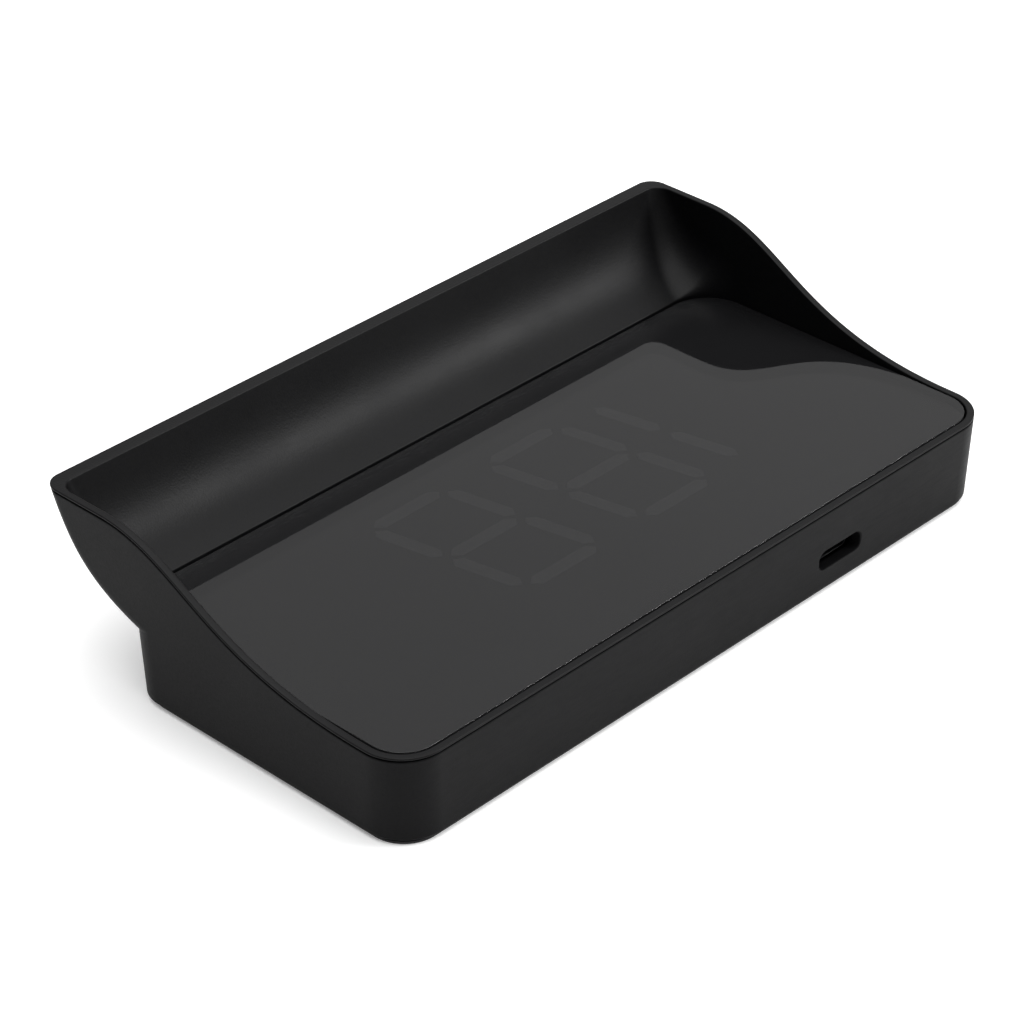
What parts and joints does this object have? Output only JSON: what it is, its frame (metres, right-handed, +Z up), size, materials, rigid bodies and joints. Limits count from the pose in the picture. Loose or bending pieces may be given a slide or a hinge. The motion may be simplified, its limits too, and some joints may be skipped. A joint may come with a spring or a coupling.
{
  "type": "dashboard head-up speed display",
  "caption": "Low black hooded housing that stands on a dashboard; a tinted window on top covers a mirrored digit display that shows speed as a reflection in the windscreen.",
  "frame": {"origin": "centre of the footprint box, on the surface the display stands on", "axes": "+X to the right seen from the USB side, +Y from the thin front edge towards the hood, +Z up"},
  "size_m": [0.14, 0.0778, 0.0321],
  "materials": {
    "black_abs": "fine matte grain, lightly satin",
    "liner_abs": "fine matte grain",
    "tinted_acrylic": "polished dark tint",
    "black_silicone": "matte",
    "tape_foam": "matte foam",
    "solder_mask": "satin green lacquer",
    "screw_steel": "zinc plated",
    "tinned_steel": "bright tin",
    "component_black": "moulded epoxy",
    "reflector_white": "satin white",
    "diffuser_film": "frosted",
    "antenna_ceramic": "fired ceramic",
    "solar_silicon": "dark blue black cell",
    "cell_pouch": "laminated foil",
    "wire_red": "insulation",
    "wire_black": "insulation",
    "connector_cream": "nylon",
    "led_body": "clear epoxy over phosphor"
  },
  "bodies": {
    "root": {"outer_casing": "black_abs", "bezel_hood_liner": "liner_abs", "display_window": "tinted_acrylic", "window_tape": "tape_foam", "base_cover": "black_abs", "anti_slip_pad": "black_silicone", "main_pcb": "solder_mask", "display_reflector": "reflector_white", "display_mask": "component_black", "diffuser_film": "diffuser_film", "solar_cell_left": "solar_silicon", "solar_cell_right": "solar_silicon", "solar_flex_left": "component_black", "solar_flex_right": "component_black", "gps_antenna": "antenna_ceramic", "gps_shield_can": "tinned_steel", "controller_chip": "component_black", "charge_chip": "component_black", "charge_inductor": "component_black", "buzzer": "component_black", "light_sensor": "connector_cream", "usb_shell": "tinned_steel", "usb_tongue": "component_black", "cell_tape": "tape_foam", "lithium_cell": "cell_pouch", "lead_plug": "connector_cream", "cell_lead_red": "wire_red", "cell_lead_black": "wire_black", "tact_switch": "component_black", "slide_switch": "tinned_steel", "case_screw_1": "screw_steel", "pcb_screw_1": "screw_steel", "case_screw_2": "screw_steel", "pcb_screw_2": "screw_steel", "case_screw_3": "screw_steel", "pcb_screw_3": "screw_steel", "case_screw_4": "screw_steel", "pcb_screw_4": "screw_steel", "segment_led_01": "led_body", "segment_led_02": "led_body", "segment_led_03": "led_body", "segment_led_04": "led_body", "segment_led_05": "led_body", "segment_led_06": "led_body", "segment_led_07": "led_body", "segment_led_08": "led_body", "segment_led_09": "led_body", "segment_led_10": "led_body", "segment_led_11": "led_body", "segment_led_12": "led_body", "segment_led_13": "led_body", "segment_led_14": "led_body", "segment_led_15": "led_body", "segment_led_16": "led_body"},
    "function_button": {"function_button": "black_abs", "tact_plunger": "connector_cream"},
    "power_knob": {"power_knob": "component_black"}
  },
  "joints": [
    {"name": "function_button_press", "type": "slide", "parent": "root", "child": "function_button", "axis": [0, -1, 0], "range_m": [0, 0.0004], "stiffness_N_per_m": 3000},
    {"name": "power_knob_slide", "type": "slide", "parent": "root", "child": "power_knob", "axis": [1, 0, 0], "range_m": [0, 0.002]}
  ]
}
